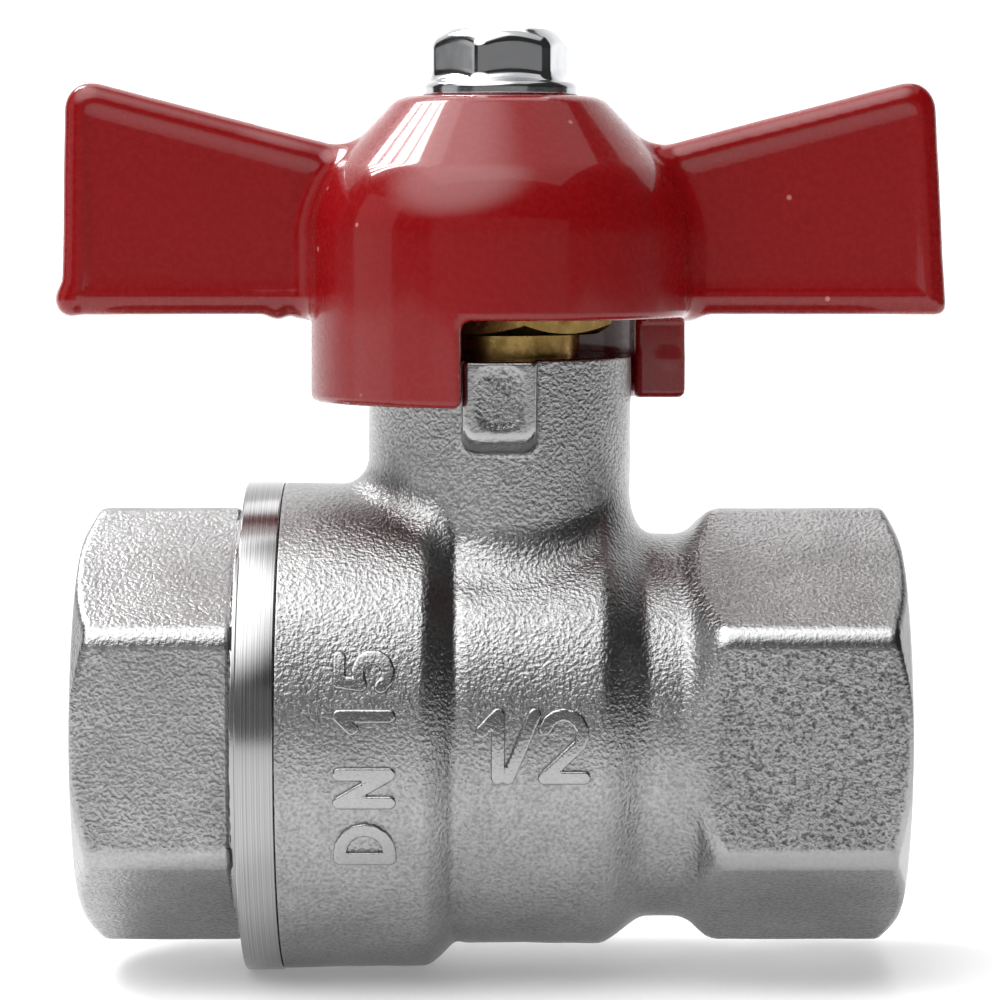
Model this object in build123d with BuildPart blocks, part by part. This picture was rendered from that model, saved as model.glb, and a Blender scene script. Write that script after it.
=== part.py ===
from build123d import *
import math
import os

os.makedirs("parts", exist_ok=True)

# Water shutoff valve: a 1/2 inch female-female quarter-turn ball valve with a
# butterfly handle. All lengths are in millimetres.
# Origin: centre of the mouth of port A, on the pipe axis. +X runs along the
# pipe to port B, +Z runs up the stem. The valve is drawn open.

# ---------------------------------------------------------------- pipe run
LENGTH = 52.5             # mouth to mouth
STEM_X = 26.8             # stem axis, from the mouth of port A
THREAD_R = 10.48          # G 1/2 thread, major radius
THREAD_DEPTH = 11.0
LEAD_IN = 0.4             # chamfer at each mouth
WATERWAY_R = 7.25

# ---------------------------------------------------------------- end hexes
HEX_FLATS = 25.0
HEX_EDGE_ROUND = 1.8
HEX_CHAMFER_ANGLE = 30.0  # between the chamfer and the end face
HEX_CHAMFER_FACE_R = 12.3
ENVELOPE_R = 15.2         # turned envelopes reach past the hex corners

# ---------------------------------------------------------------- end cap
CAP_HEX_END = 10.15
CAP_GROOVE_R = 13.75
RING_START = 10.5
RING_END = 12.9
RING_R = 15.85
RING_EDGE = 0.15
CAP_THREAD_R = 13.35
CAP_THREAD_CLEARANCE = 0.05
CAP_END = 20.6
CAP_END_GAP = 0.1         # behind the end of the cap's shank
SEAL_GROOVE_START = 13.1
SEAL_GROOVE_END = 14.6
SEAL_GROOVE_R = 12.3
SEAL_ROUND = 0.45

# ---------------------------------------------------------------- barrel
BARREL_R = 15.8           # beside the ring
BARREL_SHOULDER_X = 23.0
BARREL_SHOULDER_R = 15.6
MIDDLE_START = 23.6
MIDDLE_R = 14.15
MIDDLE_END = 33.85
WAIST_START = 35.65
WAIST_R = 12.4
WAIST_END = 38.75
HEX_RAMP_ANGLE = 46.0     # forged ramp from the waist up to the hex
SHOULDER_ROUNDS = (1.35, 0.85, 2.9, 2.9)
HEX_OVERLAP = 0.6         # the ramp starts this far inside the waist
BARREL_OVERLAP = 2.0      # the barrel runs on inside the hex

# ---------------------------------------------------------------- neck
NECK_R = 8.45
NECK_TOP = 24.0
LUG_WIDTH = 4.55
LUG_R = 10.6
LUG_BOTTOM = 19.0
LUG_ROOT_BOTTOM = 17.8
LUG_ROUND = 0.5

# ---------------------------------------------------------------- ball and seats
BALL_R = 11.0
BALL_BORE_R = 7.0
BALL_EDGE = 0.3
BALL_CLEARANCE = 0.05
CHAMBER_R = 11.5
SEAT_BACK = 9.0           # from the stem axis
SEAT_FRONT = 5.6
SEAT_OUTER_R = 9.9
SEAT_INNER_R = 7.2
SEAT_POCKET_R = 9.95
SLOT_WIDTH = 4.0
SLOT_FLOOR = 8.3

# ---------------------------------------------------------------- stem
STEM_R = 3.5
STEM_CLEARANCE = 0.05
TANG_BOTTOM = 8.6
TANG_THICKNESS = 3.9
TANG_WIDTH = 8.8
COLLAR_BOTTOM = 12.0
COLLAR_TOP = 13.5
COLLAR_R = 4.8
COLLAR_RECESS_R = 4.95
WASHER_TOP = 14.5
WASHER_R = 4.9
STEM_SHOULDER = 35.5      # the handle sits here
STEM_FLATS = 5.0
STEM_FLATS_TOP = 40.3
STEM_THREAD_R = 2.5
STEM_TOP = 44.3
STEM_TIP = 0.4

# ---------------------------------------------------------------- packing and gland nut
PACKING_BOTTOM = 16.0
PACKING_JOINT = 17.5
PACKING_TOP = 19.0
PACKING_R = 5.0
GLAND_THREAD_R = 4.97
GLAND_COLLAR_R = 5.1
GLAND_HEX_BOTTOM = 25.4
GLAND_HEX_TOP = 29.0
GLAND_HEX_FLATS = 13.0
GLAND_HEX_TURN = -18.0    # angle of one corner from +X
GLAND_CHAMFER_R = 6.3

# ---------------------------------------------------------------- handle
HUB_R = 12.4
HUB_BOTTOM = 26.5
HUB_SHOULDER = 34.4
HUB_SHOULDER_ROUND = 2.2
HUB_TOP = 40.6
HUB_TOP_R = 6.5
HUB_TOP_ROUND = 0.4
CAVITY_R = 9.2
CAVITY_SHOULDER = 32.0
CAVITY_TOP_R = 5.6
LEG_BOTTOM = 21.1
LEG_GAP = 2.4             # from the stem axis to a leg's stop face
LEG_ROUND = 0.5
WING_THICKNESS = 3.3
WING_TIP_BOTTOM = 28.7
WING_TIP_TOP = 27.8
WING_BOTTOM = 26.6
WING_TOP = 41.95          # before its corner is rounded
WING_ROOT = 9.6
WING_ROOT_TOP = 37.2
WING_TOP_ROUND = 1.9
WING_BOTTOM_ROUND = 1.0
WING_EDGE_ROUND = 0.8

# ---------------------------------------------------------------- handle nut
NUT_FLATS = 8.0
NUT_TURN = 42.4           # angle of one corner from -Y
NUT_FLANGE_R = 5.0
NUT_FLANGE_EDGE = 41.25
NUT_FLANGE_TOP = 42.0
NUT_FLANGE_TOP_R = 4.45
NUT_TOP = 44.9
NUT_TOP_R = 3.3
NUT_SHOULDER = 44.1
NUT_CORNER_R = 4.45
NUT_ROOT = 0.5            # the hex starts this far inside the flange

# ---------------------------------------------------------------- shared geometry
SAME_PLACE = 0.01         # edges this close to a face count as lying on it
STEM_AXIS = Axis((STEM_X, 0, 0), (0, 0, 1))
# Local x runs along the pipe from the stem axis, local y runs up.
STEM_SIDE = Plane(origin=(STEM_X, 0, 0), x_dir=(1, 0, 0), z_dir=(0, -1, 0))


def pipe_plane(x):
    """The plane across the pipe at x, with local x along +Y and local y up."""
    return Plane(origin=(x, 0, 0), x_dir=(0, 1, 0), z_dir=(1, 0, 0))


def level(z):
    """The horizontal plane at height z, centred on the stem axis."""
    return Plane(origin=(STEM_X, 0, z), x_dir=(1, 0, 0), z_dir=(0, 0, 1))


def corner_radius(flats):
    """The corner radius of a hexagon of the given width across flats."""
    return flats / math.sqrt(3)


def turn_about_pipe(points, mode=Mode.ADD):
    """Revolve a closed outline of (x, radius) points about the pipe axis."""
    with BuildSketch(Plane.XZ) as outline:
        with BuildLine():
            Polyline(*points, close=True)
        make_face()
    revolve(outline.sketch, axis=Axis.X, mode=mode)


def turn_about_stem(points, mode=Mode.ADD):
    """Revolve a closed outline of (radius, height) points about the stem axis."""
    with BuildSketch(STEM_SIDE) as outline:
        with BuildLine():
            Polyline(*points, close=True)
        make_face()
    revolve(outline.sketch, axis=STEM_AXIS, mode=mode)


def pipe_cylinder(x_from, x_to, radius, mode=Mode.ADD):
    """A round bar or bore along the pipe axis."""
    with BuildSketch(pipe_plane(min(x_from, x_to))) as circle:
        Circle(radius)
    extrude(circle.sketch, amount=abs(x_to - x_from), mode=mode)


def stem_cylinder(z_from, z_to, radius, mode=Mode.ADD):
    """A round bar or bore along the stem axis."""
    with BuildSketch(level(z_from)) as circle:
        Circle(radius)
    extrude(circle.sketch, amount=z_to - z_from, mode=mode)


def hex_bar(x_from, x_to):
    """A hexagonal bar along the pipe with flats to the front and back."""
    with BuildSketch(pipe_plane(x_from)) as section:
        RegularPolygon(corner_radius(HEX_FLATS), 6, rotation=90)
        fillet(section.vertices(), HEX_EDGE_ROUND)
    extrude(section.sketch, amount=x_to - x_from)


def chamfer_run(radius):
    """Axial length of the hex end chamfer where it reaches the given radius."""
    return (radius - HEX_CHAMFER_FACE_R) * math.tan(math.radians(HEX_CHAMFER_ANGLE))


def threaded_mouth(mouth_x, inward):
    """Bore a port: the thread, modelled at its major radius, and its lead-in."""
    depth = inward * THREAD_DEPTH
    turn_about_pipe(
        [
            (mouth_x, 0),
            (mouth_x, THREAD_R + LEAD_IN),
            (mouth_x + inward * LEAD_IN, THREAD_R),
            (mouth_x + depth, THREAD_R),
            (mouth_x + depth, 0),
        ],
        mode=Mode.SUBTRACT,
    )


def stem_ring(z_from, z_to, outer, inner):
    """A plain ring round the stem."""
    stem_cylinder(z_from, z_to, outer)
    stem_cylinder(z_from, z_to, inner, mode=Mode.SUBTRACT)


def on_lug_face(edge):
    """True for the edges round the outer face of each stop lug, but not its top."""
    points = [edge @ t for t in (0, 0.5, 1)]
    at_face = all(abs(abs(p.Y) - LUG_R) < SAME_PLACE for p in points)
    return at_face and not all(abs(p.Z - NECK_TOP) < SAME_PLACE for p in points)


def finish_piece(piece, name):
    """Label a piece and write it."""
    piece.part.label = name
    export_step(piece.part, f"parts/{name}.step")


# ---------------------------------------------------------------- valve body
ramp_slope = math.tan(math.radians(HEX_RAMP_ANGLE))
ramp_start = WAIST_END - HEX_OVERLAP
ramp_start_r = WAIST_R - HEX_OVERLAP * ramp_slope
ramp_end = WAIST_END + (ENVELOPE_R - WAIST_R) / ramp_slope
thread_b_end = LENGTH - THREAD_DEPTH
seat_b_back = STEM_X + SEAT_BACK
seat_b_front = STEM_X + SEAT_FRONT
cap_bore_end = CAP_END + CAP_END_GAP
cap_bore_r = CAP_THREAD_R + CAP_THREAD_CLEARANCE

with BuildPart() as valve_body:
    hex_bar(ramp_start, LENGTH)
    turn_about_pipe(
        [
            (ramp_start, 0),
            (ramp_start, ramp_start_r),
            (ramp_end, ENVELOPE_R),
            (LENGTH - chamfer_run(ENVELOPE_R), ENVELOPE_R),
            (LENGTH, HEX_CHAMFER_FACE_R),
            (LENGTH, 0),
        ],
        mode=Mode.INTERSECT,
    )
    with BuildSketch(Plane.XZ):
        with BuildLine():
            barrel_top = FilletPolyline(
                (RING_END, BARREL_R),
                (BARREL_SHOULDER_X, BARREL_SHOULDER_R),
                (MIDDLE_START, MIDDLE_R),
                (MIDDLE_END, MIDDLE_R),
                (WAIST_START, WAIST_R),
                (WAIST_END + BARREL_OVERLAP, WAIST_R),
                radius=SHOULDER_ROUNDS,
            )
            Polyline(
                barrel_top @ 1,
                (WAIST_END + BARREL_OVERLAP, 0),
                (RING_END, 0),
                barrel_top @ 0,
            )
        make_face()
    revolve(axis=Axis.X)
    stem_cylinder(0, NECK_TOP, NECK_R)
    # Stop lugs, front and back, with a sloped underside.
    with BuildSketch(pipe_plane(STEM_X - LUG_WIDTH / 2)):
        with BuildLine():
            Polyline(
                (-LUG_R, LUG_BOTTOM),
                (-LUG_R, NECK_TOP),
                (LUG_R, NECK_TOP),
                (LUG_R, LUG_BOTTOM),
                (NECK_R, LUG_ROOT_BOTTOM),
                (-NECK_R, LUG_ROOT_BOTTOM),
                close=True,
            )
        make_face()
    extrude(amount=LUG_WIDTH)
    # Body cavity, from the cap side, then the seat pocket, waterway and port B.
    pipe_cylinder(RING_END, cap_bore_end, cap_bore_r, mode=Mode.SUBTRACT)
    pipe_cylinder(cap_bore_end, seat_b_front, CHAMBER_R, mode=Mode.SUBTRACT)
    pipe_cylinder(seat_b_front, seat_b_back, SEAT_POCKET_R, mode=Mode.SUBTRACT)
    pipe_cylinder(seat_b_back, thread_b_end, WATERWAY_R, mode=Mode.SUBTRACT)
    threaded_mouth(LENGTH, -1)
    # Stem passage.
    stem_cylinder(0, WASHER_TOP, COLLAR_RECESS_R, mode=Mode.SUBTRACT)
    stem_cylinder(WASHER_TOP, PACKING_BOTTOM, STEM_R + STEM_CLEARANCE, mode=Mode.SUBTRACT)
    stem_cylinder(PACKING_BOTTOM, NECK_TOP, PACKING_R, mode=Mode.SUBTRACT)
    fillet(valve_body.edges().filter_by(on_lug_face), LUG_ROUND)
finish_piece(valve_body, "valve_body")

# ---------------------------------------------------------------- end cap
seat_a_back = STEM_X - SEAT_BACK
with BuildPart() as end_cap:
    hex_bar(0, CAP_HEX_END)
    turn_about_pipe(
        [
            (0, 0),
            (0, HEX_CHAMFER_FACE_R),
            (chamfer_run(ENVELOPE_R), ENVELOPE_R),
            (CAP_HEX_END, ENVELOPE_R),
            (CAP_HEX_END, 0),
        ],
        mode=Mode.INTERSECT,
    )
    turn_about_pipe(
        [
            (CAP_HEX_END, 0),
            (CAP_HEX_END, CAP_GROOVE_R),
            (RING_START, CAP_GROOVE_R),
            (RING_START, RING_R - RING_EDGE),
            (RING_START + RING_EDGE, RING_R),
            (RING_END - RING_EDGE, RING_R),
            (RING_END, RING_R - RING_EDGE),
            (RING_END, CAP_THREAD_R),
            (SEAL_GROOVE_START, CAP_THREAD_R),
            (SEAL_GROOVE_START, SEAL_GROOVE_R),
            (SEAL_GROOVE_END, SEAL_GROOVE_R),
            (SEAL_GROOVE_END, CAP_THREAD_R),
            (CAP_END, CAP_THREAD_R),
            (CAP_END, 0),
        ]
    )
    pipe_cylinder(0, CAP_END, WATERWAY_R, mode=Mode.SUBTRACT)
    pipe_cylinder(seat_a_back, CAP_END, SEAT_POCKET_R, mode=Mode.SUBTRACT)
    threaded_mouth(0, 1)
finish_piece(end_cap, "end_cap")

# ---------------------------------------------------------------- cap seal
with BuildPart() as cap_seal:
    with BuildSketch(Plane.XZ):
        with BuildLine():
            Polyline(
                (SEAL_GROOVE_START, SEAL_GROOVE_R),
                (SEAL_GROOVE_START, cap_bore_r),
                (SEAL_GROOVE_END, cap_bore_r),
                (SEAL_GROOVE_END, SEAL_GROOVE_R),
                close=True,
            )
        seal_section = make_face()
        fillet(seal_section.vertices(), SEAL_ROUND)
    revolve(axis=Axis.X)
finish_piece(cap_seal, "cap_seal")

# ---------------------------------------------------------------- ball
ball_mouth = math.sqrt(BALL_R**2 - BALL_BORE_R**2)
with BuildPart() as ball:
    with BuildSketch(STEM_SIDE):
        with BuildLine():
            ThreePointArc((-ball_mouth, BALL_BORE_R), (0, BALL_R), (ball_mouth, BALL_BORE_R))
            Line((ball_mouth, BALL_BORE_R), (-ball_mouth, BALL_BORE_R))
        make_face()
    revolve(axis=Axis.X)
    chamfer(ball.edges().filter_by(GeomType.CIRCLE), BALL_EDGE)
    with BuildSketch(level(SLOT_FLOOR)):
        Rectangle(SLOT_WIDTH, 2 * BALL_R)
    extrude(amount=BALL_R - SLOT_FLOOR, mode=Mode.SUBTRACT)
finish_piece(ball, "ball")

# ---------------------------------------------------------------- seats
# Each seat is a ring with a spherical face towards the ball.
seat_sphere_r = BALL_R + BALL_CLEARANCE
seat_lip_r = math.sqrt(seat_sphere_r**2 - SEAT_FRONT**2)
seat_throat = math.sqrt(seat_sphere_r**2 - SEAT_INNER_R**2)
seat_middle = (SEAT_FRONT + seat_throat) / 2
seat_middle_r = math.sqrt(seat_sphere_r**2 - seat_middle**2)
for side, name in ((-1, "seat_cap_side"), (1, "seat_body_side")):
    with BuildPart() as seat:
        with BuildSketch(STEM_SIDE):
            with BuildLine():
                ThreePointArc(
                    (side * SEAT_FRONT, seat_lip_r),
                    (side * seat_middle, seat_middle_r),
                    (side * seat_throat, SEAT_INNER_R),
                )
                Polyline(
                    (side * seat_throat, SEAT_INNER_R),
                    (side * SEAT_BACK, SEAT_INNER_R),
                    (side * SEAT_BACK, SEAT_OUTER_R),
                    (side * SEAT_FRONT, SEAT_OUTER_R),
                    (side * SEAT_FRONT, seat_lip_r),
                )
            make_face()
        revolve(axis=Axis.X)
    finish_piece(seat, name)

# ---------------------------------------------------------------- stem
with BuildPart() as stem:
    turn_about_stem(
        [
            (0, COLLAR_BOTTOM),
            (COLLAR_R, COLLAR_BOTTOM),
            (COLLAR_R, COLLAR_TOP),
            (STEM_R, COLLAR_TOP),
            (STEM_R, STEM_FLATS_TOP),
            (STEM_THREAD_R, STEM_FLATS_TOP),
            (STEM_THREAD_R, STEM_TOP - STEM_TIP),
            (STEM_THREAD_R - STEM_TIP, STEM_TOP),
            (0, STEM_TOP),
        ]
    )
    # Two flats drive the handle.
    with BuildSketch(level(STEM_SHOULDER)):
        Rectangle(4 * STEM_R, 4 * STEM_R)
        Rectangle(4 * STEM_R, STEM_FLATS, mode=Mode.SUBTRACT)
    extrude(amount=STEM_FLATS_TOP - STEM_SHOULDER, mode=Mode.SUBTRACT)
    # The tang fills the slot of the ball.
    with BuildSketch(level(TANG_BOTTOM)):
        Circle(TANG_WIDTH / 2)
        Rectangle(TANG_THICKNESS, TANG_WIDTH, mode=Mode.INTERSECT)
    extrude(amount=COLLAR_BOTTOM - TANG_BOTTOM)
finish_piece(stem, "stem")

# ---------------------------------------------------------------- washer and packing
with BuildPart() as thrust_washer:
    stem_ring(COLLAR_TOP, WASHER_TOP, WASHER_R, STEM_R + STEM_CLEARANCE)
finish_piece(thrust_washer, "thrust_washer")

with BuildPart() as packing_lower:
    stem_ring(PACKING_BOTTOM, PACKING_JOINT, PACKING_R, STEM_R + STEM_CLEARANCE)
finish_piece(packing_lower, "packing_lower")

with BuildPart() as packing_upper:
    stem_ring(PACKING_JOINT, PACKING_TOP, PACKING_R, STEM_R + STEM_CLEARANCE)
finish_piece(packing_upper, "packing_upper")

# ---------------------------------------------------------------- gland nut
with BuildPart() as gland_nut:
    with BuildSketch(level(GLAND_HEX_BOTTOM)):
        RegularPolygon(corner_radius(GLAND_HEX_FLATS), 6, rotation=GLAND_HEX_TURN)
    extrude(amount=GLAND_HEX_TOP - GLAND_HEX_BOTTOM)
    gland_chamfer = (corner_radius(GLAND_HEX_FLATS) - GLAND_CHAMFER_R) * math.tan(
        math.radians(HEX_CHAMFER_ANGLE)
    )
    turn_about_stem(
        [
            (0, GLAND_HEX_BOTTOM),
            (GLAND_CHAMFER_R, GLAND_HEX_BOTTOM),
            (corner_radius(GLAND_HEX_FLATS), GLAND_HEX_BOTTOM + gland_chamfer),
            (corner_radius(GLAND_HEX_FLATS), GLAND_HEX_TOP - gland_chamfer),
            (GLAND_CHAMFER_R, GLAND_HEX_TOP),
            (0, GLAND_HEX_TOP),
        ],
        mode=Mode.INTERSECT,
    )
    stem_cylinder(PACKING_TOP, NECK_TOP, GLAND_THREAD_R)
    stem_cylinder(NECK_TOP, GLAND_HEX_BOTTOM, GLAND_COLLAR_R)
    stem_cylinder(PACKING_TOP, GLAND_HEX_TOP, STEM_R + STEM_CLEARANCE, mode=Mode.SUBTRACT)
finish_piece(gland_nut, "gland_nut")


# ---------------------------------------------------------------- handle
def wing_outline(side):
    """One wing seen from the front, on the plane through the stem axis."""
    with BuildSketch(STEM_SIDE) as outline:
        with BuildLine():
            Polyline(
                (side * WING_ROOT, WING_BOTTOM),
                (side * WING_TIP_BOTTOM, WING_BOTTOM),
                (side * WING_TIP_TOP, WING_TOP),
                (side * WING_ROOT, WING_ROOT_TOP),
                close=True,
            )
        make_face()
        tip = outline.vertices().sort_by(lambda v: -side * v.X)[0:2].sort_by(Axis.Y)
        fillet(tip[0], WING_BOTTOM_ROUND)
        fillet(outline.vertices().sort_by(Axis.Y)[-1], WING_TOP_ROUND)
    return outline.sketch


def on_wing_rim(edge):
    """True for the edges round both faces of a wing, except at its root."""
    middle = edge @ 0.5
    on_face = abs(abs(middle.Y) - WING_THICKNESS / 2) < SAME_PLACE
    return on_face and abs(middle.X - STEM_X) > WING_ROOT + SAME_PLACE


with BuildPart() as handle:
    for side in (-1, 1):
        extrude(wing_outline(side), amount=WING_THICKNESS / 2, both=True)
    fillet(handle.edges().filter_by(on_wing_rim), WING_EDGE_ROUND)
    with BuildSketch(STEM_SIDE):
        with BuildLine():
            FilletPolyline(
                (HUB_R, HUB_BOTTOM),
                (HUB_R, HUB_SHOULDER),
                (HUB_TOP_R, HUB_TOP),
                (0, HUB_TOP),
                radius=(HUB_SHOULDER_ROUND, HUB_TOP_ROUND),
            )
            Polyline((0, HUB_TOP), (0, HUB_BOTTOM), (HUB_R, HUB_BOTTOM))
        make_face()
    revolve(axis=STEM_AXIS)
    # Two stop legs, a half turn apart.
    with BuildSketch(level(LEG_BOTTOM)):
        Circle(HUB_R)
        with Locations((-HUB_R - LEG_GAP, HUB_R - LEG_GAP), (HUB_R + LEG_GAP, LEG_GAP - HUB_R)):
            Rectangle(2 * HUB_R, 2 * HUB_R, mode=Mode.SUBTRACT)
        Rectangle(2 * LEG_GAP, 2 * HUB_R, mode=Mode.SUBTRACT)
        Rectangle(2 * HUB_R, 2 * LEG_GAP, mode=Mode.SUBTRACT)
    extrude(amount=HUB_BOTTOM - LEG_BOTTOM)
    turn_about_stem(
        [
            (0, LEG_BOTTOM),
            (CAVITY_R, LEG_BOTTOM),
            (CAVITY_R, CAVITY_SHOULDER),
            (CAVITY_TOP_R, STEM_SHOULDER),
            (0, STEM_SHOULDER),
        ],
        mode=Mode.SUBTRACT,
    )
    with BuildSketch(level(STEM_SHOULDER)):
        Circle(STEM_R + STEM_CLEARANCE)
        Rectangle(4 * STEM_R, STEM_FLATS + 2 * STEM_CLEARANCE, mode=Mode.INTERSECT)
    extrude(amount=HUB_TOP - STEM_SHOULDER, mode=Mode.SUBTRACT)
finish_piece(handle, "handle")

# ---------------------------------------------------------------- handle nut
with BuildPart() as handle_nut:
    with BuildSketch(level(NUT_FLANGE_TOP - NUT_ROOT)):
        RegularPolygon(corner_radius(NUT_FLATS), 6, rotation=NUT_TURN - 90)
    extrude(amount=NUT_TOP - NUT_FLANGE_TOP + NUT_ROOT)
    turn_about_stem(
        [
            (0, HUB_TOP),
            (NUT_CORNER_R, HUB_TOP),
            (NUT_CORNER_R, NUT_SHOULDER),
            (NUT_TOP_R, NUT_TOP),
            (0, NUT_TOP),
        ],
        mode=Mode.INTERSECT,
    )
    turn_about_stem(
        [
            (0, HUB_TOP),
            (NUT_FLANGE_R, HUB_TOP),
            (NUT_FLANGE_R, NUT_FLANGE_EDGE),
            (NUT_FLANGE_TOP_R, NUT_FLANGE_TOP),
            (0, NUT_FLANGE_TOP),
        ]
    )
    stem_cylinder(HUB_TOP, NUT_TOP, STEM_THREAD_R, mode=Mode.SUBTRACT)
finish_piece(handle_nut, "handle_nut")
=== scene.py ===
import math

import bpy
import numpy as np
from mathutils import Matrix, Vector


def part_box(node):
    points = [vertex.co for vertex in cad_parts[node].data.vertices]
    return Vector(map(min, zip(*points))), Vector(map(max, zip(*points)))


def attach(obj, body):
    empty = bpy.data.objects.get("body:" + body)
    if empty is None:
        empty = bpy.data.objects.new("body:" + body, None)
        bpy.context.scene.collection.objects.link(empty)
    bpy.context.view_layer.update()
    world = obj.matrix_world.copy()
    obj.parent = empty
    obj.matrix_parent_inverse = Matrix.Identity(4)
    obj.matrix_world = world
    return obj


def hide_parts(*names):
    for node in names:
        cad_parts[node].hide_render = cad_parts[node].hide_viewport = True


# A nickel-plated quarter-turn valve with a red butterfly handle. Shapes are written as
# distance fields in millimetres, in the row's frame, and meshed here; Blender's own
# objects are in metres.

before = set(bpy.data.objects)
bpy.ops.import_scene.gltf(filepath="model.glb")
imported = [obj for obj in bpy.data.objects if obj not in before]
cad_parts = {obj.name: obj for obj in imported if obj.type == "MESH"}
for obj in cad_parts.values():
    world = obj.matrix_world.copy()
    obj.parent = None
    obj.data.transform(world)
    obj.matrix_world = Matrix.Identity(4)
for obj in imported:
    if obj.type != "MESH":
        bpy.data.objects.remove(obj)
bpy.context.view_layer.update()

MM = 0.001


def box_mm(node):
    """The lowest and highest corner of a CAD node, in millimetres."""
    low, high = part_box(node)
    return np.array(low) / MM, np.array(high) / MM


# ---------------------------------------------------------------- sizes from the frame
body_low, body_high = box_mm("valve_body")
cap_low, cap_high = box_mm("end_cap")
handle_low, handle_high = box_mm("handle")
nut_low, nut_high = box_mm("handle_nut")

STEM_X = (nut_low[0] + nut_high[0]) / 2
LENGTH = body_high[0]
RING_END = body_low[0]
RING_R = cap_high[1]
NECK_TOP = body_high[2]
HUB_R = handle_high[1]
HUB_TOP = nut_low[2]
LEG_BOTTOM = handle_low[2]
NUT_TOP = nut_high[2]
CAP_END = cap_high[0]

# ---------------------------------------------------------------- sizes of the shapes, mm
MESH_STEP = 0.3           # grid step of the large castings
HEX_FLATS = 25.0
HEX_EDGE = 0.95
HEX_CHAMFER_R = 12.3
HEX_CHAMFER_ANGLE = math.radians(30)
HEX_CHAMFER_EDGE = 0.3
HEX_MOUTH_ROUND = 0.15
RAMP_ANGLE = math.radians(46.0)
RAMP_ROUND = 0.5
BARREL_R = 15.7
BARREL_DRAFT = 0.012      # fall in radius per millimetre along the barrel
SHOULDER_X = 23.05
SHOULDER_RUN = 2.4
SHOULDER_GROOVE_X = 23.9
SHOULDER_GROOVE = 0.14
SHOULDER_GROOVE_HALF = 0.4
MIDDLE_R = 14.15
TAPER_X = 34.65
TAPER_RUN = 3.3
WAIST_R = 12.4
WAIST_END = 38.75
WAIST_OVERLAP = 0.6       # the waist runs on this far inside the hexagon
RING_FACE_ROUND = 0.12
NECK_R = 8.45
NECK_BLEND = 1.8
NECK_TOP_ROUND = 0.2
LUG_R = 10.6
LUG_HALF = 2.275
LUG_BOTTOM = 19.0
LUG_ROOT_BOTTOM = 17.8
LUG_ROOT = 4.0            # a lug starts this far from the stem axis, inside the neck
LUG_SIDE_ROUND = 1.1
LUG_UNDER_ROUND = 0.9
LUG_FACE_ROUND = 0.35
LUG_TOP_ROUND = 0.3
LUG_BLEND = 0.45
LUG_PATCH_Z = 21.7        # middle of the rough oval on a lug's face
LUG_PATCH_HALF_X = 1.5
LUG_PATCH_HALF_Z = 1.95
LUG_DISH = 0.13
THREAD_MAJOR_R = 10.48
THREAD_MINOR_R = 9.32
THREAD_PITCH = 25.4 / 14
THREAD_DEPTH = 11.0
LEAD_IN = 0.8
WATERWAY_R = 7.25
CAP_BORE_R = 13.4
CHAMBER_R = 11.5
SEAT_POCKET_R = 9.95
SEAT_FRONT = 5.6          # from the stem axis
SEAT_BACK = 9.0
COLLAR_RECESS_R = 4.95
COLLAR_RECESS_TOP = 14.5
STEM_HOLE_R = 3.55
PACKING_R = 5.0
PACKING_BOTTOM = 16.0
BORE_ROUND = 0.15
OVERSHOOT = 5.0           # how far a hollow runs on outside the solid
FACE_DEPTH = 0.12         # points this close to a machined face belong to it
FACE_FADE = 0.08


# ---------------------------------------------------------------- distance fields
def smooth(t):
    """Smoothstep of t between 0 and 1."""
    t = np.clip(t, 0.0, 1.0)
    return t * t * (3.0 - 2.0 * t)


def union(a, b, radius):
    """Union of two fields with a concave fillet of the given radius."""
    corner = np.hypot(np.maximum(radius - a, 0), np.maximum(radius - b, 0))
    return np.maximum(radius, np.minimum(a, b)) - corner


def common(a, b, radius):
    """Intersection of two fields with a rounded edge."""
    corner = np.hypot(np.maximum(radius + a, 0), np.maximum(radius + b, 0))
    return np.minimum(-radius, np.maximum(a, b)) + corner


def cut(a, b, radius):
    """Field a with field b taken out of it, edges rounded."""
    return common(a, -b, radius)


def line_field(u, v, start, end):
    """Signed distance to the line from start to end; the solid is on its right."""
    du, dv = end[0] - start[0], end[1] - start[1]
    length = math.hypot(du, dv)
    return ((v - start[1]) * du - (u - start[0]) * dv) / length


def hexagon(u, v, flats, edge, turn=0.0):
    """A rounded hexagon; turn is the angle of one side's normal from u, in radians."""
    sides = []
    for k in range(3):
        angle = turn + k * math.pi / 3
        sides.append(np.abs(u * math.cos(angle) + v * math.sin(angle)) - flats / 2)
    return common(common(sides[0], sides[1], edge), sides[2], edge)


def bar(radial, along, start, end, radius, edge=0.1):
    """A round bar between two stations along its axis."""
    ends = np.maximum(start - along, along - end)
    return common(radial - radius, ends, edge)


def lumps(points, size, seed):
    """Smooth random unevenness of about the given wavelength, between -1 and 1."""
    rng = np.random.default_rng(seed)
    total = np.zeros(len(points))
    waves = 9
    for _ in range(waves):
        direction = rng.normal(size=3)
        direction /= np.linalg.norm(direction)
        phase = rng.uniform(0, 2 * math.pi)
        stretch = rng.uniform(0.7, 1.5)
        total += np.sin(points @ direction * (2 * math.pi / (size * stretch)) + phase)
    return total / waves * 1.8


# ---------------------------------------------------------------- meshing a field
def stations(low, high, step, edges):
    """Grid stations from low to high, three times as close beside each crisp edge."""
    places = [low - 1.5 * step]
    while places[-1] < high + 1.5 * step:
        middle = places[-1] + step / 2
        near = any(abs(middle - edge) < 1.5 * step for edge in edges)
        places.append(places[-1] + (step / 3 if near else step))
    return np.array(places)


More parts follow.
